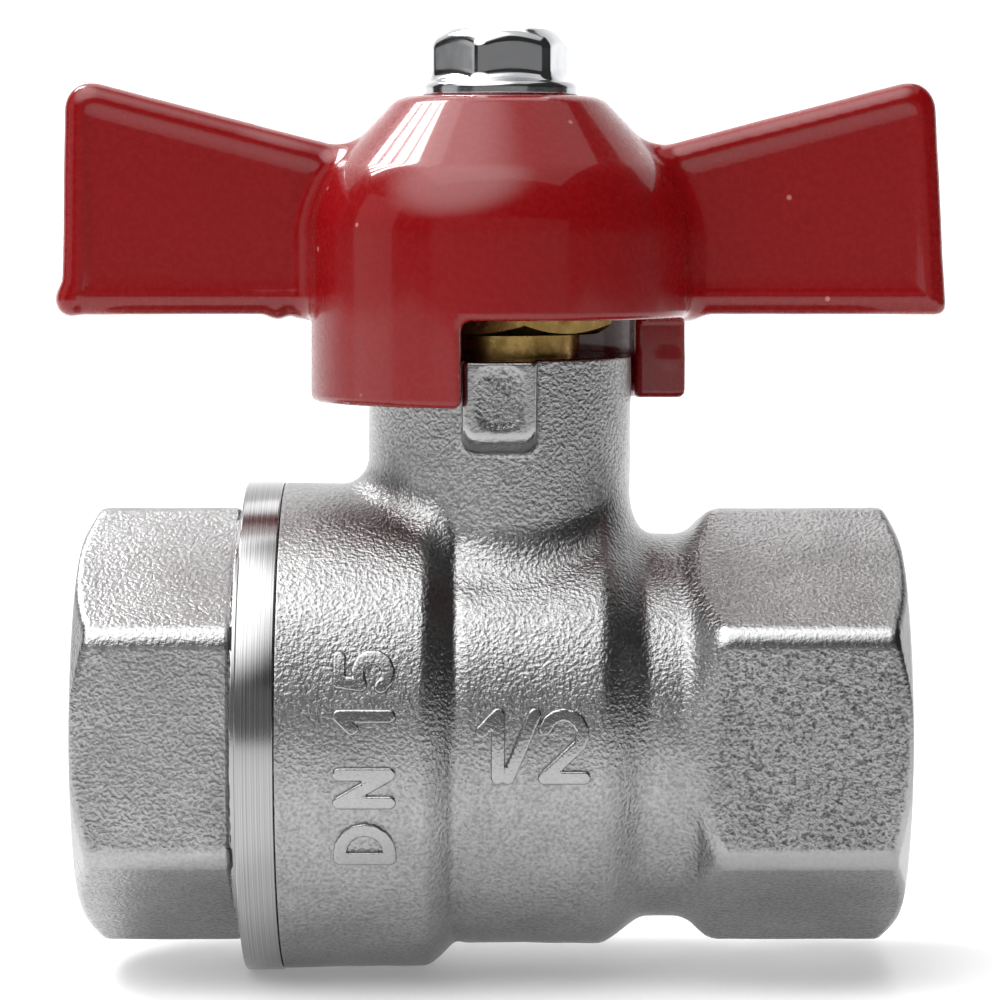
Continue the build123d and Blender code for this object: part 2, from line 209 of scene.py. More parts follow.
def grid_values(field, low, high, step, crisp):
    """Sample a field over a box; crisp lists the axes' places with sharp edges."""
    axes = [stations(low[k], high[k], step, crisp.get("xyz"[k], ())) for k in range(3)]
    x, y, z = np.meshgrid(*axes, indexing="ij", sparse=True)
    values = np.broadcast_to(field(x, y, z), [len(a) for a in axes])
    return axes, np.ascontiguousarray(values)


def net_vertices(axes, values):
    """One vertex for each cell that the surface crosses, and the grid of their numbers."""
    cells = np.array(values.shape) - 1
    total = np.zeros((*cells, 3))
    count = np.zeros(cells)
    for axis in range(3):
        others = [k for k in range(3) if k != axis]
        for corner in range(4):
            start = [0, 0, 0]
            start[others[0]] = corner % 2
            start[others[1]] = corner // 2
            end = list(start)
            end[axis] = 1
            v0 = values[tuple(slice(s, s + n) for s, n in zip(start, cells))]
            v1 = values[tuple(slice(s, s + n) for s, n in zip(end, cells))]
            crossed = (v0 < 0) != (v1 < 0)
            place = np.where(crossed, v0 / np.where(crossed, v0 - v1, 1.0), 0.0)
            for k in range(3):
                offset = place if k == axis else float(start[k])
                total[..., k] += np.where(crossed, offset, 0.0)
            count += crossed
    active = count > 0
    index = np.full(cells, -1)
    index[active] = np.arange(active.sum())
    corners = np.argwhere(active)
    share = total[active] / count[active][:, None]
    places = []
    for k in range(3):
        start = axes[k][corners[:, k]]
        size = axes[k][corners[:, k] + 1] - start
        places.append(start + share[:, k] * size)
    return np.stack(places, axis=1), index


def net_quads(values, index):
    """A quad for each grid edge that the surface crosses, facing outwards."""
    quads = []
    for axis in range(3):
        b, c = (axis + 1) % 3, (axis + 2) % 3
        low = [slice(1, -1)] * 3
        high = [slice(1, -1)] * 3
        low[axis] = slice(0, -1)
        high[axis] = slice(1, None)
        v0, v1 = values[tuple(low)], values[tuple(high)]
        crossed = np.argwhere((v0 < 0) != (v1 < 0))
        outward = (v0 < 0)[tuple(crossed.T)]
        base = crossed + np.array([0 if k == axis else 1 for k in range(3)])
        ring = []
        for db, dc in ((-1, -1), (0, -1), (0, 0), (-1, 0)):
            cell = base.copy()
            cell[:, b] += db
            cell[:, c] += dc
            ring.append(index[tuple(cell.T)])
        ring = np.stack(ring, axis=1)
        quads.append(np.where(outward[:, None], ring, ring[:, ::-1]))
    return np.concatenate(quads)


def slope_of(field, points, reach):
    """The gradient of a field at some points."""
    parts = []
    for k in range(3):
        ahead, behind = points.copy(), points.copy()
        ahead[:, k] += reach
        behind[:, k] -= reach
        parts.append((field(*ahead.T) - field(*behind.T)) / (2 * reach))
    return np.stack(parts, axis=1)


def mesh_field(name, field, low, high, step, finish=None, **crisp):
    """Mesh the zero surface of a field as one smooth-shaded object.

    finish(points, normals) returns moved points and {attribute: values}; x, y and z may
    list places with crisp edges.
    """
    axes, values = grid_values(field, low, high, step, crisp)
    points, index = net_vertices(axes, values)
    quads = net_quads(values, index)
    for _ in range(3):
        gradient = slope_of(field, points, step / 12)
        steepness = np.maximum((gradient**2).sum(axis=1), 0.2)
        move = -(field(*points.T) / steepness)[:, None] * gradient
        points += np.clip(move, -step / 2, step / 2)
    gradient = slope_of(field, points, step / 12)
    normals = gradient / np.maximum(np.linalg.norm(gradient, axis=1), 1e-9)[:, None]
    attributes = {}
    if finish:
        points, attributes = finish(points, normals)
    return quad_object(name, points * MM, quads, normals, attributes)


def quad_object(name, vertices, faces, normals=None, attributes=None):
    """A smooth-shaded mesh object from arrays, in metres."""
    mesh = bpy.data.meshes.new(name)
    mesh.from_pydata(vertices.tolist(), [], faces.tolist())
    mesh.shade_smooth()
    for key, values in (attributes or {}).items():
        layer = mesh.attributes.new(key, "FLOAT", "POINT")
        layer.data.foreach_set("value", np.asarray(values, dtype=np.float32))
    mesh.validate()
    if normals is not None:
        mesh.normals_split_custom_set_from_vertices(normals.tolist())
    piece = bpy.data.objects.new(name, mesh)
    bpy.context.scene.collection.objects.link(piece)
    return piece


# ---------------------------------------------------------------- valve body
def barrel_radius(x):
    """Outer radius of the round parts of the body, from the ring to the waist."""
    big = BARREL_R - BARREL_DRAFT * (x - RING_END)
    step_down = smooth((x - SHOULDER_X) / SHOULDER_RUN + 0.5)
    taper = smooth((x - TAPER_X) / TAPER_RUN + 0.5)
    radius = big + (MIDDLE_R - big) * step_down
    radius = radius + (WAIST_R - radius) * taper
    from_groove = (x - SHOULDER_GROOVE_X) / SHOULDER_GROOVE_HALF
    return radius - SHOULDER_GROOVE * np.exp(-(from_groove**2))


def barrel_field(x, radial):
    """Distance to the round outside of the body."""
    reach = 0.05
    slope = (barrel_radius(x + reach) - barrel_radius(x - reach)) / (2 * reach)
    return (radial - barrel_radius(x)) / np.sqrt(1 + slope**2)


def hex_end_field(x, y, z, radial, mouth_x, facing):
    """A wrench hexagon with its chamfer at the mouth; facing is +1 for port B."""
    away = facing * (x - mouth_x)
    chamfer = away * math.cos(HEX_CHAMFER_ANGLE)
    chamfer = chamfer + (radial - HEX_CHAMFER_R) * math.sin(HEX_CHAMFER_ANGLE)
    solid = hexagon(y, z, HEX_FLATS, HEX_EDGE)
    solid = common(solid, chamfer, HEX_CHAMFER_EDGE)
    return common(solid, away, HEX_MOUTH_ROUND)


def lug_field(across, y, z):
    """The two stop lugs at the top of the neck."""
    out = np.abs(y)
    underside = line_field(out, z, (LUG_R, LUG_BOTTOM), (NECK_R, LUG_ROOT_BOTTOM))
    sides = common(np.abs(across) - LUG_HALF, LUG_ROOT_BOTTOM + 0.2 - z, LUG_SIDE_ROUND)
    dish = LUG_DISH * smooth((1.1 - lug_patch(across, z)) / 0.35)
    solid = common(sides, underside, LUG_UNDER_ROUND)
    solid = common(solid, out - LUG_R + dish, LUG_FACE_ROUND)
    solid = common(solid, z - NECK_TOP, LUG_TOP_ROUND)
    return np.maximum(solid, LUG_ROOT - out)


def lug_patch(across, z):
    """Below 1 inside the rough oval on a lug's face."""
    beside = np.abs(across / LUG_PATCH_HALF_X)
    above = np.abs((z - LUG_PATCH_Z) / LUG_PATCH_HALF_Z)
    return (beside**3 + above**3) ** (1 / 3)


def body_outside(x, y, z):
    """The forged outside of the valve body."""
    radial = np.hypot(y, z)
    across = x - STEM_X
    bulk = np.maximum(barrel_field(x, radial), x - WAIST_END - WAIST_OVERLAP)
    ramp = (radial - WAIST_R) * math.cos(RAMP_ANGLE) - (x - WAIST_END) * math.sin(RAMP_ANGLE)
    port = hex_end_field(x, y, z, radial, LENGTH, 1)
    port = common(port, ramp, RAMP_ROUND)
    bulk = union(bulk, port, RAMP_ROUND)
    neck = np.maximum(np.hypot(across, y) - NECK_R, -z)
    bulk = union(bulk, neck, NECK_BLEND)
    bulk = union(bulk, lug_field(across, y, z), LUG_BLEND)
    bulk = common(bulk, z - NECK_TOP, NECK_TOP_ROUND)
    return common(bulk, RING_END - x, RING_FACE_ROUND)


def body_inside(x, y, z):
    """Every machined hollow of the valve body."""
    radial = np.hypot(y, z)
    around = np.hypot(x - STEM_X, y)
    hollow = bar(radial, x, RING_END - OVERSHOOT, CAP_END + 0.1, CAP_BORE_R)
    hollow = np.minimum(hollow, bar(radial, x, RING_END, STEM_X + SEAT_FRONT, CHAMBER_R))
    hollow = np.minimum(hollow, bar(radial, x, RING_END, STEM_X + SEAT_BACK, SEAT_POCKET_R))
    hollow = np.minimum(hollow, bar(radial, x, RING_END, LENGTH, WATERWAY_R))
    hollow = np.minimum(hollow, port_hollow(radial, LENGTH - x))
    hollow = np.minimum(hollow, bar(around, z, 0, COLLAR_RECESS_TOP, COLLAR_RECESS_R))
    hollow = np.minimum(hollow, bar(around, z, 0, PACKING_BOTTOM + 2, STEM_HOLE_R))
    return np.minimum(hollow, bar(around, z, PACKING_BOTTOM, NECK_TOP + OVERSHOOT, PACKING_R))


def port_hollow(radial, depth):
    """A threaded port with its lead-in; depth is measured inwards from the mouth."""
    bore = bar(radial, depth, -OVERSHOOT, THREAD_DEPTH, THREAD_MAJOR_R)
    lead_in = (radial + depth - THREAD_MAJOR_R - LEAD_IN) * math.sqrt(0.5)
    return np.minimum(bore, np.maximum(lead_in, -OVERSHOOT - depth))


def body_field(x, y, z):
    """The valve body with its hollows."""
    return cut(body_outside(x, y, z), body_inside(x, y, z), BORE_ROUND)


def outer_skin(distance):
    """1 on an outside surface and 0 in the hollows, by the distance to that outside."""
    return 1 - smooth((np.abs(distance) - 0.02) / 0.1)


def on_face(depth):
    """1 on a flat machined face and 0 away from it; depth is measured inwards from it."""
    return smooth((FACE_DEPTH - depth) / FACE_FADE)


def finish_body(points, normals):
    """Make the forging slightly uneven and mark where it is blasted, worn or machined."""
    x, y, z = points.T
    skin = outer_skin(body_outside(x, y, z))
    machined = np.maximum(on_face(NECK_TOP - z), on_face(LENGTH - x))
    machined = np.maximum(machined, on_face(x - RING_END))
    forged = skin * (1 - machined)
    uneven = 0.045 * lumps(points, 7.0, 3) + 0.02 * lumps(points, 2.6, 4)
    across = x - STEM_X
    on_lug = smooth((z - LUG_BOTTOM) / 0.3) * smooth((np.abs(y) - LUG_R + 0.45) / 0.2)
    on_patch = on_lug * smooth((1.08 - lug_patch(across, z)) / 0.16)
    on_hex = smooth((x - WAIST_END - 1.2) / 0.8)
    smoother = np.maximum(on_hex * edge_of_hex(normals) * 0.75, on_lug * 0.8)
    blasted = forged * (1 - smoother * (1 - on_patch))
    flat = on_hex * smooth((-normals[:, 1] - 0.985) / 0.01)
    moved = points + normals * (uneven * forged)[:, None]
    return moved, {"blasted": blasted, "pitted": forged * np.maximum(flat, on_patch)}


def edge_of_hex(normals):
    """1 on a hexagon's rounded edges and 0 on its flats, by the surface's direction."""
    facing = np.zeros(len(normals))
    for k in range(3):
        angle = k * math.pi / 3
        side = normals[:, 1] * math.cos(angle) + normals[:, 2] * math.sin(angle)
        facing = np.maximum(facing, np.abs(side))
    return smooth((0.992 - facing) / 0.02)


body_skin = mesh_field(
    "valve_body_skin",
    body_field,
    body_low,
    body_high,
    MESH_STEP,
    finish_body,
    x=(RING_END, LENGTH),
    z=(NECK_TOP,),
)
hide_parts("valve_body")
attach(body_skin, "body")


# ---------------------------------------------------------------- raised marks
MARK_HALF_WIDTH = 0.42
MARK_ROOT = 0.35          # how deep a mark reaches into the body
MARK_EDGE_ROUND = 0.12
MARK_BELOW_RING = 0.01    # no mark stands higher than this below the ring
MARK_BLASTED = 0.35       # share of the body's grain
MARK_STEP = 0.13
WORD_GAP = 0.3            # in heights


def arc_points(centre, radius, start, end, count=9):
    """Points along an arc; the angles are in degrees from the u axis."""
    places = []
    for angle in np.radians(np.linspace(start, end, count)):
        places.append((centre[0] + radius * math.cos(angle), centre[1] + radius * math.sin(angle)))
    return places


# Each character as lines through points, one unit tall from its lower left corner.
CHARACTERS = {
    "1": [(0.05, 0.74), (0.3, 1.0), (0.3, 0.0)],
    "/": [(0.0, 0.0), (0.42, 1.0)],
    "2": [*arc_points((0.3, 0.7), 0.3, 165, -35), (0.0, 0.0), (0.62, 0.0)],
    "5": [(0.56, 1.0), (0.1, 1.0), (0.05, 0.57), *arc_points((0.28, 0.32), 0.31, 115, -150)],
    "D": [(0.0, 0.0), (0.0, 1.0), *arc_points((0.12, 0.5), 0.5, 90, -90), (0.0, 0.0)],
    "N": [(0.0, 0.0), (0.0, 1.0), (0.58, 0.0), (0.58, 1.0)],
}


def stroke_distance(u, v, points):
    """Distance from each (u, v) to a line through the points."""
    nearest = np.inf
    for (u0, v0), (u1, v1) in zip(points, points[1:]):
        du, dv = u1 - u0, v1 - v0
        t = np.clip(((u - u0) * du + (v - v0) * dv) / (du * du + dv * dv), 0, 1)
        nearest = np.minimum(nearest, np.hypot(u - u0 - t * du, v - v0 - t * dv))
    return nearest


def mark_distance(u, v, text, height, gap):
    """Distance to a line of characters that starts at u = 0 and stands on v = 0."""
    nearest = np.inf
    start = 0.0
    for character in text:
        points = CHARACTERS.get(character)
        if points:
            placed = [(start + a * height, b * height) for a, b in points]
            nearest = np.minimum(nearest, stroke_distance(u, v, placed))
            start += max(a for a, b in points) * height + gap
        else:
            start += WORD_GAP * height
    return nearest


def raised_mark(name, text, height, gap, relief, place, low, high):
    """Characters standing on the front of the body; place(x, z) gives their (u, v)."""

    def mark_field(x, y, z):
        u, v = place(x, z)
        radial = np.hypot(y, z)
        skin = barrel_radius(x)
        outline = mark_distance(u, v, text, height, gap) - MARK_HALF_WIDTH
        top = np.minimum(skin + relief, RING_R - MARK_BELOW_RING)
        solid = common(outline, radial - top, MARK_EDGE_ROUND)
        return np.maximum(np.maximum(solid, skin - MARK_ROOT - radial), y)

    def finish_mark(points, normals):
        count = len(points)
        return points, {"blasted": np.full(count, MARK_BLASTED), "pitted": np.zeros(count)}

    piece = mesh_field(name, mark_field, np.array(low), np.array(high), MARK_STEP, finish_mark)
    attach(piece, "body")
    return piece


size_mark = raised_mark(
    "size_mark",
    "1/2",
    height=3.9,
    gap=0.62,
    relief=0.32,
    place=lambda x, z: (x - STEM_X + 1.3, z + 1.5),
    low=(STEM_X - 2.2, -14.6, -2.4),
    high=(STEM_X + 6.4, -13.2, 3.4),
)
bore_mark = raised_mark(
    "bore_mark",
    "DN 15",
    height=3.05,
    gap=1.75,
    relief=0.22,
    place=lambda x, z: (z + 6.5, STEM_X - 6.8 - x),
    low=(STEM_X - 10.6, -16.0, -7.4),
    high=(STEM_X - 6.1, -13.0, 8.6),
)


# ---------------------------------------------------------------- end cap
RING_START = 10.5
CAP_HEX_END = 10.15
CAP_GROOVE_R = 13.75
CAP_THREAD_R = 13.35
CAP_CORE_START = 5.0      # the core and shank start inside the hexagon
CAP_CORE_R = 12.2
CAP_HEX_BACK_ROUND = 0.45
CAP_SHANK_ROUND = 0.3


def cap_outside(x, y, z):
    """The end cap's hexagon, with the relief groove beside the ring and its shank."""
    radial = np.hypot(y, z)
    hexes = hex_end_field(x, y, z, radial, 0.0, -1)
    hexes = common(hexes, x - CAP_HEX_END, CAP_HEX_BACK_ROUND)
    core = bar(radial, x, CAP_CORE_START, CAP_END, CAP_CORE_R, CAP_SHANK_ROUND)
    groove = bar(radial, x, CAP_HEX_END - 0.1, RING_START + 1.0, CAP_GROOVE_R)
    shank = bar(radial, x, RING_START, CAP_END, CAP_THREAD_R, CAP_SHANK_ROUND)
    return np.minimum(np.minimum(hexes, core), np.minimum(groove, shank))


def cap_field(x, y, z):
    """The end cap without its ring."""
    radial = np.hypot(y, z)
    hollow = bar(radial, x, 0, CAP_END + OVERSHOOT, WATERWAY_R)
    pocket = bar(radial, x, STEM_X - SEAT_BACK, CAP_END + OVERSHOOT, SEAT_POCKET_R)
    hollow = np.minimum(hollow, pocket)
    hollow = np.minimum(hollow, port_hollow(radial, x))
    return cut(cap_outside(x, y, z), hollow, BORE_ROUND)


def finish_cap(points, normals):
    """Uneven, blasted hexagon with a machined mouth and shank."""
    x, y, z = points.T
    skin = outer_skin(cap_outside(x, y, z))
    shank = smooth((x - CAP_HEX_END + 0.1) / 0.1)
    forged = skin * (1 - np.maximum(on_face(x), shank))
    uneven = 0.04 * lumps(points, 7.0, 13) + 0.02 * lumps(points, 2.6, 14)
    moved = points + normals * (uneven * forged)[:, None]
    smoother = 0.45 * edge_of_hex(normals)
    return moved, {"blasted": forged * (1 - smoother), "pitted": np.zeros(len(points))}


cap_skin = mesh_field(
    "end_cap_hex", cap_field, cap_low, cap_high, MESH_STEP, finish_cap, x=(0.0, CAP_HEX_END)
)
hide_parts("end_cap")
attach(cap_skin, "body")


def lathe(name, profile, sides):
    """Turn a closed outline of (x, radius) in millimetres about the pipe axis."""
    x, radius = np.array(profile).T
    angle = np.arange(sides) * 2 * math.pi / sides
    rings = np.stack(
        [
            np.repeat(x, sides),
            np.outer(radius, np.cos(angle)).ravel(),
            np.outer(radius, np.sin(angle)).ravel(),
        ],
        axis=1,
    )
    count = len(profile)
    quads = []
    for i in range(count):
        j = (i + 1) % count
        a = np.arange(sides)
        b = (a + 1) % sides
        quads.append(np.stack([i * sides + a, j * sides + a, j * sides + b, i * sides + b], 1))
    return quad_object(name, rings * MM, np.concatenate(quads))


def rounded_outline(points, radii, steps=5):
    """An outline with each corner replaced by an arc of its own radius."""
    outline = []
    count = len(points)
    for i, radius in enumerate(radii):
        corner = np.array(points[i], float)
        before = np.array(points[i - 1], float) - corner
        after = np.array(points[(i + 1) % count], float) - corner
        if radius == 0:
            outline.append(corner)
            continue
        before /= np.linalg.norm(before)
        after /= np.linalg.norm(after)
        half = math.acos(np.clip(before @ after, -1, 1)) / 2
        start = corner + before * radius / math.tan(half)
        end = corner + after * radius / math.tan(half)
        middle = before + after
        centre = corner + middle / np.linalg.norm(middle) * radius / math.sin(half)
        for t in np.linspace(0, 1, steps):
            way = (start - centre) * (1 - t) + (end - centre) * t
            outline.append(centre + way / np.linalg.norm(way) * radius)
    return outline


RING_SIDES = 256
RING_EDGE_FRONT = 0.16
RING_EDGE_BACK = 0.1
ring_core = CAP_THREAD_R - 1.5    # the ring's inner edge is buried in the cap
ring_outline = rounded_outline(
    [
        (RING_START, ring_core),
        (RING_START, RING_R),
        (RING_END, RING_R),
        (RING_END, ring_core),
    ],
    [0, RING_EDGE_FRONT, RING_EDGE_BACK, 0],
)
cap_ring = lathe("end_cap_ring", ring_outline, RING_SIDES)
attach(cap_ring, "body")


# ---------------------------------------------------------------- port threads
THREAD_START = 0.5
THREAD_RUNOUT = 0.4
STEPS_PER_TURN = 96
FADE_STEPS = 40           # the ridge rises from the wall over this many steps
RIDGE_ROOT = 0.04         # how far a ridge's foot lies inside the wall
CREST = THREAD_MINOR_R - THREAD_MAJOR_R
# Across the ridge in pitches, and its height from the wall.
RIDGE = [(-0.48, 0.06), (-0.12, CREST * 0.9), (0.0, CREST), (0.12, CREST * 0.9), (0.48, 0.06)]


def port_thread(name, mouth_x, inward):
    """The ridge of a pipe thread, right-handed, from the lead-in to the thread's end."""
    turns = (THREAD_DEPTH - THREAD_RUNOUT - THREAD_START) / THREAD_PITCH
    steps = int(turns * STEPS_PER_TURN)
    rows = []
    for i in range(steps + 1):
        along = THREAD_START + i / STEPS_PER_TURN * THREAD_PITCH
        fade = float(smooth(np.array(min(i, steps - i) / FADE_STEPS)))
        angle = inward * 2 * math.pi * i / STEPS_PER_TURN
        for across, height in RIDGE:
            radius = THREAD_MAJOR_R + RIDGE_ROOT + (height - RIDGE_ROOT) * fade
            x = mouth_x + inward * (along + across * THREAD_PITCH)
            rows.append((x, radius * math.cos(angle), radius * math.sin(angle)))
    width = len(RIDGE)
    quads = []
    for i in range(steps):
        for j in range(width):
            k = (j + 1) % width
            a, b = i * width + j, i * width + k
            quads.append((a, a + width, b + width, b))
    piece = quad_object(name, np.array(rows) * MM, np.array(quads))
    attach(piece, "body")
    return piece


threads = [port_thread("port_a_thread", 0.0, 1), port_thread("port_b_thread", LENGTH, -1)]


# ---------------------------------------------------------------- handle
HUB_BOTTOM = 26.5
HUB_SHOULDER = 34.4
HUB_SHOULDER_ROUND = 1.7
HUB_TOP_R = 6.5
HUB_TOP_ROUND = 0.5
HUB_BOTTOM_ROUND = 0.45
CAVITY_R = 9.2
CAVITY_SHOULDER = 32.0
CAVITY_TOP = 35.5
CAVITY_TOP_R = 5.6
CAVITY_ROUND = 0.4
STEM_FLAT_HALF = 2.55     # half the width across the stem hole's flats
STEM_HOLE_ROUND = 0.25
LEG_GAP = 2.4             # from the stem axis to a leg's stop face
LEG_ROUND = 0.5
LEG_BLEND = 0.6
WING_BOTTOM = 26.6
WING_HALF = 1.65
WING_TIP_BOTTOM = 28.7
WING_TIP_TOP = 27.8
WING_TOP = 41.95
WING_ROOT = 9.6
WING_ROOT_TOP = 37.2
WING_LEAN = 0.45          # how much further in the left tip's foot stands
WING_CORNER_ROUND = 2.2
WING_FOOT_ROUND = 0.7
WING_EDGE_ROUND = 1.0
WING_START = 5.0          # inside the hub
WING_BLEND = 1.3
WING_RIM = 0.16
WING_FLARE = 0.25         # how much thicker each side is at the hub


def hub_field(across, y, z, around):
    """The round hub: flat top, cone, skirt and, below it, two legs a half turn apart."""
    front = np.maximum(LEG_GAP + across, LEG_GAP + y)
    back = np.maximum(LEG_GAP - across, LEG_GAP - y)
    legs = common(np.minimum(front, back), LEG_BOTTOM - z, LEG_ROUND)
    lower = union(HUB_BOTTOM - z, legs, LEG_BLEND)
    cone = line_field(around, z, (HUB_TOP_R, HUB_TOP), (HUB_R, HUB_SHOULDER))
    solid = common(around - HUB_R, cone, HUB_SHOULDER_ROUND)
    solid = common(solid, z - HUB_TOP, HUB_TOP_ROUND)
    return common(solid, lower, HUB_BOTTOM_ROUND)


def wing_field(across, y, z):
    """Both wings, as rounded plates."""
    out = np.abs(across)
    tip = line_field(out, z, (WING_TIP_TOP, WING_TOP), (WING_TIP_BOTTOM, WING_BOTTOM))
    fall = smooth((WING_TOP - z) / (WING_TOP - WING_BOTTOM))
    tip = tip + WING_LEAN * (across < 0) * fall
    top = line_field(out, z, (WING_ROOT, WING_ROOT_TOP), (WING_TIP_TOP, WING_TOP))
    outline = common(tip, top, WING_CORNER_ROUND)
    outline = common(outline, WING_BOTTOM - z, WING_FOOT_ROUND)
    bead = WING_RIM * np.exp(-(((outline + 1.2) / 0.5) ** 2))
    root = WING_FLARE * smooth((17.0 - out) / 5.0)
    solid = common(outline, np.abs(y) - WING_HALF - bead - root, WING_EDGE_ROUND)
    return np.maximum(solid, WING_START - out)


PAINT_BEAD_BLEND = 0.7
# Beads where the coating ran before it set: place from the stem's foot, radius, spread in y.
PAINT_BEADS = [
    ((-27.75, 0.0, 27.6), 0.85, 1.5),
    ((-14.3, -0.2, 26.85), 0.5, 1.6),
    ((-12.9, 0.0, 26.9), 0.4, 1.8),
    ((11.0, 4.2, 23.6), 1.05, 1.2),
]
# Where the coating has chipped: place from the stem's foot and reach.
CHIPS = [
    ((9.3, -8.3, 26.55), 0.9),
    ((10.6, -6.6, 26.5), 0.8),
    ((11.6, 2.8, 21.4), 1.3),
    ((-11.9, -2.6, 21.3), 0.5),
    ((-4.2, -11.6, 21.1), 0.45),
]


def finish_handle(points, normals):
    """Mark where the coating has chipped, and make the skin slightly wavy inside its box."""
    x, y, z = points.T
    chipped = np.zeros(len(points))
    for (chip_x, chip_y, chip_z), reach in CHIPS:
        away = np.sqrt((x - STEM_X - chip_x) ** 2 + (y - chip_y) ** 2 + (z - chip_z) ** 2)
        chipped = np.maximum(chipped, np.exp(-((away / reach) ** 2)))
    wavy = 0.02 * lumps(points, 6.0, 21) + 0.008 * lumps(points, 2.0, 22)
    above_foot = smooth((z - LEG_BOTTOM - 0.3) / 0.5)
    moved = points + normals * (wavy * above_foot)[:, None]
    return np.clip(moved, handle_low, handle_high), {"chipped": chipped}


def handle_field(x, y, z):
    """The coated handle, hollow underneath, with its hole for the stem's flats."""
    across = x - STEM_X
    around = np.hypot(across, y)
    solid = union(hub_field(across, y, z, around), wing_field(across, y, z), WING_BLEND)
    for (bead_x, bead_y, bead_z), bead_r, spread in PAINT_BEADS:
        bead = np.sqrt((across - bead_x) ** 2 + ((y - bead_y) / spread) ** 2 + (z - bead_z) ** 2)
        solid = union(solid, bead - bead_r, PAINT_BEAD_BLEND)
    cone = line_field(around, z, (CAVITY_TOP_R, CAVITY_TOP), (CAVITY_R, CAVITY_SHOULDER))
    hollow = np.maximum(np.maximum(around - CAVITY_R, cone), z - CAVITY_TOP)
    solid = cut(solid, hollow, CAVITY_ROUND)
    hole = np.maximum(around - STEM_HOLE_R, np.abs(y) - STEM_FLAT_HALF)
    return cut(solid, hole, STEM_HOLE_ROUND)


handle_skin = mesh_field(
    "handle_skin", handle_field, handle_low - 1, handle_high + 1, MESH_STEP, finish_handle
)
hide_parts("handle")
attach(handle_skin, "handle")


# ---------------------------------------------------------------- handle nut
NUT_FLATS = 8.0
NUT_TURN = math.radians(-17.6)
NUT_STEP = 0.09
NUT_BORE_R = 2.45
NUT_LEAD_IN_R = 2.95
NUT_EDGE = 0.5
NUT_FLANGE_BLEND = 0.5
NUT_CROWN_R = 3.3
FLANGE_R = 5.0
FLANGE_SLOPE_R = 4.7      # the flange's sloped top passes this radius at the next height
FLANGE_SLOPE_Z = 41.5


def nut_field(x, y, z):
    """A hexagon nut with a flange, a chamfered crown and a lead-in to its bore."""
    across = x - STEM_X
    around = np.hypot(across, y)
    hexes = hexagon(across, y, NUT_FLATS, NUT_EDGE, NUT_TURN)
    crown = (around - NUT_CROWN_R) * 0.6 + (z - NUT_TOP) * 0.8
    hexes = common(hexes, crown, 0.4)
    hexes = common(hexes, z - NUT_TOP, 0.15)
    flange_top = (around - FLANGE_SLOPE_R) * 0.42 + (z - FLANGE_SLOPE_Z) * 0.907
    flange = common(around - FLANGE_R, flange_top, 0.25)
    solid = union(hexes, flange, NUT_FLANGE_BLEND)
    solid = common(solid, HUB_TOP - z, 0.12)
    bore = common(around - NUT_BORE_R, NUT_TOP - 2 * OVERSHOOT - z, 0.1)
    lead_in = (around + NUT_TOP - z - NUT_LEAD_IN_R) * math.sqrt(0.5)
    return cut(solid, np.minimum(bore, lead_in), 0.1)


nut_skin = mesh_field("handle_nut_skin", nut_field, nut_low, nut_high, NUT_STEP)
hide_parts("handle_nut")
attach(nut_skin, "handle")


# ---------------------------------------------------------------- materials
def node(tree, kind, **settings):
    """Add a shader node; settings name its inputs or its own properties."""
    made = tree.nodes.new(kind)
    for key, value in settings.items():
        if hasattr(made, key):
            setattr(made, key, value)
        else:
            made.inputs[key.replace("_", " ")].default_value = value
    return made


def new_material(name, **sockets):
    """A material with one Principled shader; sockets are its uniform values."""
    material = bpy.data.materials.new(name)
    material.use_nodes = True
    shader = material.node_tree.nodes["Principled BSDF"]
    for key, value in sockets.items():
        shader.inputs[key.replace("_", " ")].default_value = value
    return material, material.node_tree, shader


def noise(tree, place, scale, detail=2.0, roughness=0.5):
    """Noise in the row's frame; scale is features per metre."""
    made = node(tree, "ShaderNodeTexNoise", Scale=scale, Detail=detail, Roughness=roughness)
    tree.links.new(place, made.inputs["Vector"])
    return made.outputs["Fac"]


def ramp(tree, value, stops):
    """A colour ramp; stops are (position, grey or colour)."""
    made = node(tree, "ShaderNodeValToRGB")
    elements = made.color_ramp.elements
    while len(elements) < len(stops):
        elements.new(0.5)
    for element, (position, colour) in zip(elements, stops):
        element.position = position
        rgb = (colour, colour, colour) if isinstance(colour, (int, float)) else colour
        element.color = (*rgb, 1.0)
    tree.links.new(value, made.inputs["Fac"])
    return made.outputs["Color"]


def math_node(tree, operation, a, b):
    """A math node on two sockets or numbers."""
    made = node(tree, "ShaderNodeMath", operation=operation)
    for socket, value in zip(made.inputs, (a, b)):
        if isinstance(value, (int, float)):
            socket.default_value = value
        else:
            tree.links.new(value, socket)
    return made.outputs["Value"]


def mapped(tree, value, stops, shader, socket):
    """Drive one of a shader's sockets by a value through a colour ramp."""
    tree.links.new(ramp(tree, value, stops), shader.inputs[socket])


def mix_colour(tree, factor, a, b, blend="MIX"):
    """Mix two colours, each a socket or an (r, g, b)."""
    made = node(tree, "ShaderNodeMix", data_type="RGBA", blend_type=blend)
    for socket, value in ((made.inputs[0], factor), (made.inputs[6], a), (made.inputs[7], b)):
        if isinstance(value, (int, float)):
            socket.default_value = value
        elif isinstance(value, tuple):
            socket.default_value = (*value, 1.0)
        else:
            tree.links.new(value, socket)
    return made.outputs[2]


def bump(tree, height, distance, strength):
    """A bump node; distance is in metres."""
    made = node(tree, "ShaderNodeBump", Distance=distance, Strength=strength)
    tree.links.new(height, made.inputs["Height"])
    return made.outputs["Normal"]


def centred(tree, value, weight):
    """Noise shifted to lie about zero, so that fading it out leaves no step."""
    shifted = math_node(tree, "SUBTRACT", value, 0.5)
    return math_node(tree, "MULTIPLY", shifted, weight)


